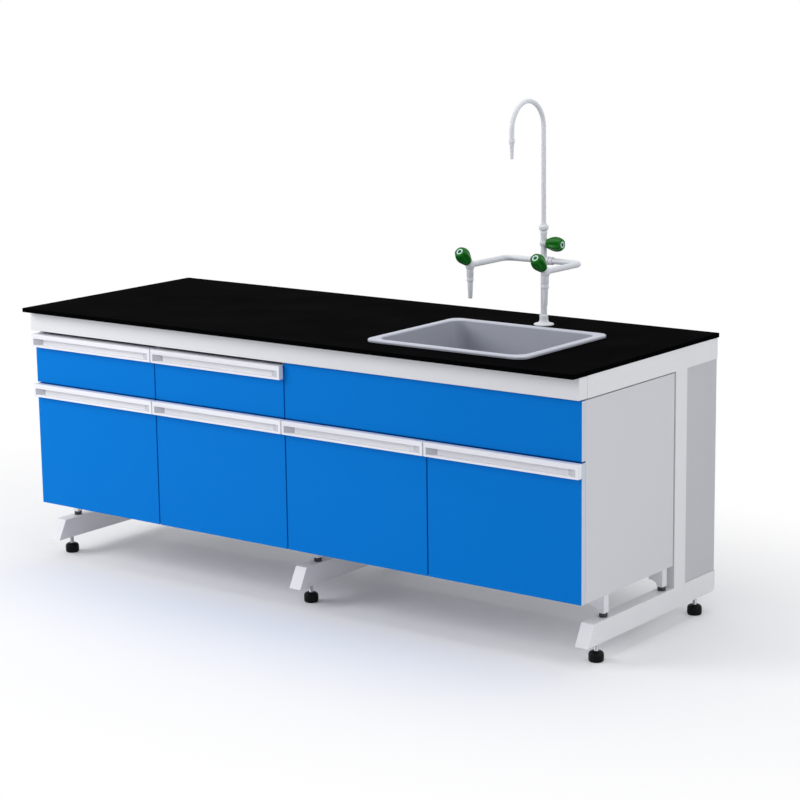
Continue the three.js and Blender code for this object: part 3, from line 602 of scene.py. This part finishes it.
# Sink bowl
def rounded_ring(length, depth, radius, level, steps=14):
    """Points round a rectangle with round corners, at a level, about the sink's centre."""
    points = []
    for corner in range(4):
        side_x = 1 if corner in (0, 3) else -1
        side_y = 1 if corner < 2 else -1
        for step in range(steps + 1):
            angle = (corner + step / steps) * math.pi / 2
            x = SINK_X + side_x * (length / 2 - radius) + radius * math.cos(angle)
            y = SINK_Y + side_y * (depth / 2 - radius) + radius * math.sin(angle)
            points.append(Vector((x, y, level)))
    return points


def bowl_ring(inset, level):
    """A ring of the bowl, drawn in from the opening by an inset."""
    length = RIM_LENGTH - 2 * RIM_WIDTH - 2 * inset
    depth = RIM_DEPTH - 2 * RIM_WIDTH - 2 * inset
    return rounded_ring(length, depth, max(BOWL_RADIUS - inset, 0.004), level)


def rim_ring(inset, level):
    """A ring of the raised rim, drawn in from its outer edge by an inset."""
    return rounded_ring(RIM_LENGTH - 2 * inset, RIM_DEPTH - 2 * inset, RIM_RADIUS - inset, level)


def quarter(count):
    """Shares of a quarter round, as (sine, one minus cosine) pairs from 0 to 1."""
    angles = [math.pi / 2 * step / count for step in range(count + 1)]
    return [(math.sin(angle), 1 - math.cos(angle)) for angle in angles]


def sink_bowl():
    """The moulded bowl: underside, outer wall, rounded rim, tapered inside and rounded floor."""
    top = TOP_Z + RIM_HEIGHT
    floor = top - BOWL_DEPTH
    edge = 0.004
    round_floor = 0.024
    rings = [
        rounded_ring(2 * WASTE_HOLE, 2 * WASTE_HOLE, WASTE_HOLE, floor - BOWL_WALL),
        bowl_ring(BOWL_TAPER + FLOOR_FILLET / 2 - BOWL_WALL, floor - BOWL_WALL),
        bowl_ring(BOWL_TAPER - BOWL_WALL, floor - BOWL_WALL + FLOOR_FILLET),
        bowl_ring(-BOWL_WALL, TOP_Z - 0.0005),
        bowl_ring(-BOWL_WALL, TOP_Z + 0.0002),
        rim_ring(0.0004, TOP_Z + 0.0002),
    ]
    for across, rise in quarter(5):
        rings.append(rim_ring(edge * rise, top - edge * (1 - across)))
    for across, drop in quarter(5):
        rings.append(bowl_ring(-edge * (1 - across), top - edge * drop))
    rings.append(bowl_ring(BOWL_TAPER, floor + round_floor))
    for across, rise in quarter(6)[1:]:
        rings.append(bowl_ring(BOWL_TAPER + round_floor * rise * 0.5, floor + round_floor * (1 - across)))
    rings.append(rounded_ring(2 * WASTE_HOLE + 0.05, 2 * WASTE_HOLE + 0.05, WASTE_HOLE + 0.025, floor))
    rings.append(rounded_ring(2 * WASTE_HOLE, 2 * WASTE_HOLE, WASTE_HOLE, floor - 0.001))
    shape = rings_into(bmesh.new(), rings, closes=True)
    bmesh.ops.remove_doubles(shape, verts=shape.verts, dist=0.00001)
    piece = new_object("sink_bowl_look", from_bmesh("sink_bowl", shape, 35), GREY_SINK, SINK_RIM_HIGHLIGHT)
    # Faces above half the rim's height take the lighter rim grey as painted highlight; the rest keep the
    # darker bowl grey.
    for face in piece.data.polygons:
        face.material_index = 1 if face.center.z > TOP_Z + RIM_HEIGHT / 2 else 0
    return finish_piece(piece, "unit", "grey_sink", "sink_bowl")


sink_bowl()


# Waste fitting and bottle trap
def sink_waste():
    """The waste's flange with a slotted strainer, its nut and its tail."""
    floor = TOP_Z + RIM_HEIGHT - BOWL_DEPTH
    under = floor - BOWL_WALL
    place = Matrix.Translation((SINK_X, SINK_Y, 0))
    rings = [(0.015, under - WASTE_TAIL), (0.019, under - WASTE_TAIL), (0.019, under - 0.0093)]
    rings += [(0.0365, under - 0.0093), (0.037, under - 0.0085), (0.037, under - 0.001)]
    rings += [(0.0365, under - 0.0003), (0.0255, under - 0.0003), (0.0255, floor + 0.0003)]
    rings += [(0.0375, floor + 0.0003), (0.0380, floor + 0.0010), (0.0365, floor + 0.0030)]
    rings += [(0.0330, floor + 0.0034), (0.0250, floor + 0.0012), (0.0230, floor - 0.0005)]
    rings += [(0.015, floor - 0.0040)]
    shape = bmesh.new()
    circles = [[place @ point for point in circle(radius, level, 64)] for radius, level in rings]
    rings_into(shape, circles, closes=True)
    for turn in range(3):
        spin = Matrix.Rotation(turn * math.pi / 3, 4, "Z")
        bar = bmesh.new()
        box_into(bar, (-0.0225, -0.0016, -0.002), (0.0225, 0.0016, 0.0))
        bmesh.ops.transform(bar, matrix=place @ Matrix.Translation((0, 0, floor)) @ spin, verts=bar.verts)
        mesh = bpy.data.meshes.new("bar")
        bar.to_mesh(mesh)
        bar.free()
        shape.from_mesh(mesh)
    piece = new_object("sink_waste_look", from_bmesh("sink_waste", shape, 35), ZINC)
    return finish_piece(piece, "unit", "zinc_steel", "sink_waste")


def outlet_level():
    """The outlet pipe's level, from the bowl's underside down the tail and the trap's drop."""
    return TOP_Z + RIM_HEIGHT - BOWL_DEPTH - BOWL_WALL - WASTE_TAIL - TRAP_DROP


def bottle_trap():
    """The trap's cup and nut, turned, and its outlet pipe through the cabinet back."""
    low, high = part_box("bottle_trap")
    base, top = low[2], high[2]
    shoulder = top - TRAP_DROP
    place = Matrix.Translation((SINK_X, SINK_Y, 0))
    shape = bmesh.new()
    profile = [(0, base), (0.026, base), (0.031, base + 0.002), (0.034, base + 0.006)]
    profile += [(0.034, shoulder - 0.036), (0.0332, shoulder - 0.035), (0.0332, shoulder - 0.033)]
    profile += [(0.034, shoulder - 0.032), (0.034, shoulder - 0.003), (0.031, shoulder)]
    profile += [(0.027, shoulder + 0.001), (0.027, top - 0.002), (0.0255, top), (0, top - 0.0002)]
    lathe(shape, profile, 64, place)
    lying = Matrix.Translation((SINK_X, SINK_Y, outlet_level())) @ Matrix.Rotation(-math.pi / 2, 4, "X")
    reach = high[1] - SINK_Y
    inside = reach - 0.06
    pipe = [(0, 0), (0.020, 0), (0.020, 0.034), (0.026, 0.034), (0.027, 0.036), (0.027, 0.054)]
    pipe += [(0.026, 0.056), (0.020, 0.056), (0.020, reach - 0.001), (0.0195, reach), (0.017, reach)]
    pipe += [(0.017, inside), (0, inside)]
    lathe(shape, pipe, 64, lying)
    piece = new_object("bottle_trap_look", from_bmesh("bottle_trap", shape, 35), WHITE_PIPE)
    return finish_piece(piece, "unit", "white_pipe", "bottle_trap")


sink_waste()
bottle_trap()


# Tap
TAP = Matrix.Translation((SINK_X, TAP_Y, TOP_Z))
TO_X = Matrix.Rotation(math.pi / 2, 4, "Y")


def tap_column():
    """Base flange, boss, column, tee for the arms and spout valve."""
    shape = bmesh.new()
    profile = [(0, -0.062), (0.011, -0.062), (0.011, 0.0001), (0.0285, 0.0001), (0.0290, 0.0008)]
    profile += [(0.0288, 0.0028), (0.0270, 0.0042), (0.0190, 0.0060), (0.0150, 0.0085), (0.0130, 0.0125)]
    profile += [(0.0125, 0.0180), (0.0125, 0.0270), (0.0118, 0.0284), (0.0100, 0.0296), (0.0092, 0.0312)]
    profile += [(0.0090, 0.0340), (0.0090, COLUMN_TOP - 0.012), (0.0100, COLUMN_TOP - 0.011)]
    profile += [(0.0100, COLUMN_TOP - 0.001), (0.0094, COLUMN_TOP), (0, COLUMN_TOP)]
    lathe(shape, profile, 64, TAP)
    half = [(0, -0.020), (0.0108, -0.020), (0.0120, -0.0188), (0.0120, -0.0135), (0.0108, -0.0120)]
    tee = half + [(radius, -level) for radius, level in reversed(half)]
    lathe(shape, tee, 48, TAP @ Matrix.Translation((0, 0, TEE_LEVEL)) @ TO_X)
    turns = [step * math.pi / 16 for step in range(17)]
    ball = [(TEE_BALL * math.sin(turn), -TEE_BALL * math.cos(turn)) for turn in turns]
    lathe(shape, ball, 48, TAP @ Matrix.Translation((0, 0, TEE_LEVEL)))
    valve = [(0, 0), (0.0100, 0), (0.0100, 0.0118), (0.0092, 0.0130)]
    valve += [(0.0040, 0.0130), (0.0040, 0.036), (0, 0.0365)]
    lathe(shape, valve, 48, TAP @ Matrix.Translation((0, 0, VALVE_LEVEL)) @ TO_X)
    lathe(shape, ball, 48, TAP @ Matrix.Translation((0, 0, VALVE_LEVEL)) @ Matrix.Scale(0.92, 4))
    piece = new_object("tap_column_look", from_bmesh("tap_column", shape, 35), TAP_COAT)
    return finish_piece(piece, "unit", "white_tap", "tap_column")


def back_nut():
    """The nut and washer that hold the tap under the worktop."""
    shape = bmesh.new()
    under = TAP @ Matrix.Translation((0, 0, -TOP_THICKNESS))
    washer = ((0, -0.0026), (0.024, -0.0026), (0.024, -0.0002), (0, -0.0002))
    nut = ((0, -0.0125), (0.0180, -0.0125), (0.0195, -0.0112), (0.0195, -0.0022), (0, -0.0022))
    lathe(shape, washer, 48, under)
    lathe(shape, nut, 6, under)
    piece = new_object("tap_back_nut", from_bmesh("back_nut", shape, 20), ZINC)
    return finish_piece(piece, "unit", "zinc_steel")


def tap_arm(side, sign):
    """A bent tube with a valve body, a hose nozzle and a knob stub at its end."""
    level = TAP @ Matrix.Translation((0, 0, TEE_LEVEL))
    start = Vector((sign * 0.0203, 0, 0))
    first = Vector((sign * (ARM_REACH - ARM_BEND), 0, 0))
    last = Vector((sign * ARM_REACH, -ARM_BEND, 0))
    end = Vector((sign * ARM_REACH, -ARM_FORWARD, 0))
    centre = Vector((sign * (ARM_REACH - ARM_BEND), -ARM_BEND, 0))
    path = [start] + arc(centre, first, last, 14) + [end]
    shape = bmesh.new()
    sweep(shape, [level @ point for point in path], ARM_TUBE, 32)
    nut = [(0, 0), (0.0104, 0), (0.0116, 0.0010), (0.0116, 0.0110), (0.0104, 0.0120), (0, 0.0120)]
    lathe(shape, nut, 48, level @ Matrix.Translation(start) @ Matrix.Rotation(sign * math.pi / 2, 4, "Y"))
    tip = level @ Matrix.Translation(end)
    body = [(0, -0.0150), (0.0075, -0.0142), (0.0110, -0.0110), (0.0130, -0.0060), (0.0132, 0.0)]
    body += [(0.0126, 0.0060), (0.0105, 0.0105), (0.0070, 0.0135), (0, 0.0145)]
    lathe(shape, body, 48, tip)
    nozzle = [(0, -0.096), (0.0030, -0.096), (0.0054, -0.0955), (0.0060, -0.0940), (0.0072, -0.0700)]
    nozzle += [(0.0078, -0.0560), (0.0080, -0.0480), (0.0098, -0.0460), (0.0101, -0.0440)]
    nozzle += [(0.0101, -0.0400), (0.0092, -0.0380), (0.0092, -0.0340), (0.0100, -0.0320)]
    nozzle += [(0.0100, -0.0060), (0, -0.0050)]
    lathe(shape, nozzle, 48, tip)
    stub = [(0, 0), (0.0100, 0), (0.0100, 0.0125), (0.0108, 0.0135), (0.0108, 0.0152), (0.0100, 0.0160)]
    stub += [(0.0040, 0.0160), (0.0040, 0.0395), (0, 0.0400)]
    lathe(shape, stub, 48, tip @ Matrix.Rotation(math.pi / 2 - KNOB_TILT, 4, "X"))
    piece = new_object(f"tap_{side}_arm_look", from_bmesh("tap_arm", shape, 35), TAP_COAT)
    return finish_piece(piece, "unit", "white_tap", f"tap_{side}_arm")


def knob(side, body, matrix):
    """A lobed green knob with a pale index ring, and a dark disc in the centre of its end as painted shade
    for a hole.
    """
    end = KNOB_LENGTH
    profile = [(0.0044, 0.0, 0.0), (0.0130, 0.0, 0.0), (0.0140, 0.0008, 0.0), (0.0150, 0.004, 0.0003)]
    profile += [(0.0166, 0.010, 0.0010), (0.0183, 0.017, 0.0016), (0.0193, 0.024, 0.0019)]
    profile += [(0.0196, 0.029, 0.0019), (0.0193, 0.034, 0.0019), (0.0185, 0.040, 0.0016)]
    profile += [(0.0175, 0.0445, 0.0011), (0.0165, 0.0475, 0.0006), (0.0152, 0.0493, 0.0002)]
    profile += [(0.0138, end, 0.0), (0.0098, end, 0.0), (0.0094, end - 0.0008, 0.0)]
    rings = []
    for radius, level, depth in profile:
        rings.append([matrix @ point for point in circle(radius, level, 96, KNOB_LOBES, depth)])
    shape = rings_into(bmesh.new(), rings, cap_start=True, cap_end=True)
    piece = new_object(f"tap_{side}_knob_look", from_bmesh("knob", shape, 50), GREEN_KNOB)
    finish_piece(piece, body, "green_knob", f"tap_{side}_knob")
    ring = bmesh.new()
    pale = [(0, end - 0.0012), (0.0093, end - 0.0012), (0.0093, end - 0.0001)]
    pale += [(0.0088, end), (0.0058, end), (0.0056, end - 0.0006)]
    lathe(ring, pale, 64, matrix)
    index = new_object(f"tap_{side}_knob_ring", from_bmesh("ring", ring), MINT_RING)
    finish_piece(index, body, "white_handle")
    # The knob's centre: a flat dark disc, painted shade where a hole would be.
    dark = bmesh.new()
    shade_disc = ((0, end - 0.0011), (0.0056, end - 0.0011), (0.0055, end - 0.0003), (0, end - 0.0005))
    lathe(dark, shade_disc, 48, matrix)
    centre = new_object(f"tap_{side}_knob_centre", from_bmesh("centre", dark), KNOB_HOLE_SHADE)
    finish_piece(centre, body, "black_pad")


def tap_gooseneck():
    """Swivel nut, tube over the arch, collar and drawn-in tip."""
    base = TAP @ Matrix.Translation((0, 0, COLUMN_TOP))
    reach, arch_level, drop = 0.159, 0.291, 0.020
    centre = Vector((0, -reach / 2, arch_level))
    top = centre + Vector((0, 0, reach / 2))
    start = Vector((0, 0, arch_level))
    end = Vector((0, -reach, arch_level))
    path = [Vector((0, 0, 0.010))] + arc(centre, start, top, 20) + arc(centre, top, end, 20)[1:]
    path.append(end - Vector((0, 0, drop)))
    shape = bmesh.new()
    sweep(shape, [base @ point for point in path], NECK_TUBE, 32)
    nut = [(0, 0.0003), (0.0105, 0.0003), (0.0128, 0.0020), (0.0139, 0.0050), (0.0140, 0.0080)]
    nut += [(0.0140, 0.0118), (0.0134, 0.0132), (0.0112, 0.0150), (0.0090, 0.0170), (0.0084, 0.0200)]
    nut += [(0.0082, 0.0216), (0.0068, 0.0222), (0, 0.0224)]
    lathe(shape, nut, 64, base)
    tip = [(0, -0.056), (0.0028, -0.056), (0.0040, -0.0555), (0.0043, -0.0540), (0.0063, -0.0160)]
    tip += [(0.0068, -0.0125), (0.0080, -0.0118), (0.0085, -0.0105), (0.0085, -0.0015)]
    tip += [(0.0078, -0.0003), (0, 0.0)]
    lathe(shape, tip, 48, base @ Matrix.Translation(path[-1]))
    piece = new_object("tap_gooseneck_look", from_bmesh("tap_gooseneck", shape, 35), TAP_COAT)
    return finish_piece(piece, "gooseneck", "white_tap", "tap_gooseneck")


tap_column()
back_nut()
for side, sign in (("left", -1), ("right", 1)):
    tap_arm(side, sign)
    seat = TAP @ Matrix.Translation((sign * ARM_REACH, -ARM_FORWARD, TEE_LEVEL))
    tilt = Matrix.Rotation(math.pi / 2 - KNOB_TILT, 4, "X")
    knob(side, f"{side}_knob", seat @ tilt @ Matrix.Translation((0, 0, KNOB_SEAT)))
knob("spout", "spout_knob", TAP @ Matrix.Translation((SPOUT_KNOB_SEAT, 0, VALVE_LEVEL)) @ TO_X)
tap_gooseneck()


# Stage: floor, light and camera
FLOOR_HALF = 14.0
FADE_OVAL = 0.55
FADE_START = 0.25
FADE_END = 1.6
STUDIO_LIGHT = (0.36, 0.37, 0.39, 1)
BACKGROUND = (1, 1, 1, 1)
CAMERA_LENS = 101.98
CAMERA_PLACE = (4.065, -5.126, 1.886)
CAMERA_AROUND = math.radians(37.29)
CAMERA_ABOVE = math.radians(11.47)
CAMERA_ROLL = math.radians(-0.80)


def floor_paint():
    """Pale matt paint near the unit that fades to plain white further out."""
    material = surface("pale_floor", (244, 244, 246), 0.75, grain=300, bump=0.02, shade=0.01)
    nodes, links = material.node_tree.nodes, material.node_tree.links
    paint = nodes["Principled BSDF"]
    place = nodes.new("ShaderNodeTexCoord")
    oval = nodes.new("ShaderNodeMapping")
    oval.inputs["Scale"].default_value = (FADE_OVAL, 1, 1)
    distance = nodes.new("ShaderNodeVectorMath")
    distance.operation = "LENGTH"
    fade = nodes.new("ShaderNodeMapRange")
    fade.interpolation_type = "SMOOTHSTEP"
    fade.inputs["From Min"].default_value = FADE_START
    fade.inputs["From Max"].default_value = FADE_END
    seen = nodes.new("ShaderNodeGroup")
    seen.node_tree = SEEN_RAYS
    share = nodes.new("ShaderNodeMath")
    share.operation = "MULTIPLY"
    white = nodes.new("ShaderNodeEmission")
    mix = nodes.new("ShaderNodeMixShader")
    links.new(place.outputs["Object"], oval.inputs["Vector"])
    links.new(oval.outputs["Vector"], distance.inputs["Vector"])
    links.new(distance.outputs["Value"], fade.inputs["Value"])
    links.new(fade.outputs["Result"], share.inputs[0])
    links.new(seen.outputs["Seen"], share.inputs[1])
    links.new(share.outputs["Value"], mix.inputs["Fac"])
    links.new(paint.outputs["BSDF"], mix.inputs[1])
    links.new(white.outputs["Emission"], mix.inputs[2])
    links.new(mix.outputs["Shader"], nodes["Material Output"].inputs["Surface"])
    return material


def floor():
    """A plain pale floor under the unit."""
    shape = bmesh.new()
    bmesh.ops.create_grid(shape, x_segments=1, y_segments=1, size=FLOOR_HALF)
    piece = new_object("floor", from_bmesh("floor", shape), floor_paint())


def area_light(name, place, target, size, power):
    """A soft square light at a place, turned to a target."""
    data = bpy.data.lights.new(name, "AREA")
    data.size = size
    data.energy = power
    lamp = bpy.data.objects.new(name, data)
    lamp.location = place
    lamp.rotation_euler = (Vector(target) - Vector(place)).to_track_quat("-Z", "Y").to_euler()
    bpy.context.scene.collection.objects.link(lamp)


def studio_world():
    """White behind the unit, straight and in reflections, and a soft pale light from all round."""
    world = bpy.data.worlds.new("studio")
    bpy.context.scene.world = world
    world.use_nodes = True
    nodes, links = world.node_tree.nodes, world.node_tree.links
    back = nodes["Background"]
    seen = nodes.new("ShaderNodeGroup")
    seen.node_tree = SEEN_RAYS
    mix = nodes.new("ShaderNodeMix")
    mix.data_type = "RGBA"
    mix.inputs["A"].default_value = STUDIO_LIGHT
    mix.inputs["B"].default_value = BACKGROUND
    links.new(seen.outputs["Seen"], mix.inputs["Factor"])
    links.new(mix.outputs["Result"], back.inputs["Color"])


def camera():
    """The photograph's view: a long lens from the right and a little above."""
    data = bpy.data.cameras.new("camera")
    data.lens = CAMERA_LENS
    data.sensor_width = 36.0
    piece = bpy.data.objects.new("camera", data)
    piece.location = CAMERA_PLACE
    sideways = -math.sin(CAMERA_AROUND) * math.cos(CAMERA_ABOVE)
    inwards = math.cos(CAMERA_AROUND) * math.cos(CAMERA_ABOVE)
    ahead = Vector((sideways, inwards, -math.sin(CAMERA_ABOVE)))
    level = ahead.to_track_quat("-Z", "Y")
    piece.rotation_euler = (level @ Quaternion((0, 0, 1), CAMERA_ROLL)).to_euler()
    bpy.context.scene.collection.objects.link(piece)
    bpy.context.scene.camera = piece


floor()
area_light("key", place=(-3.2, -3.3, 2.9), target=(-0.4, 0, 0.5), size=2.4, power=138)
area_light("fill", place=(4.8, -0.4, 2.6), target=(0.4, 0, 0.5), size=3.0, power=59)
area_light("overhead", place=(0.2, 0.4, 4.6), target=(0.2, 0, 0.5), size=4.0, power=75)
studio_world()
camera()
bpy.context.scene.view_settings.view_transform = "Standard"

bpy.context.view_layer.update()
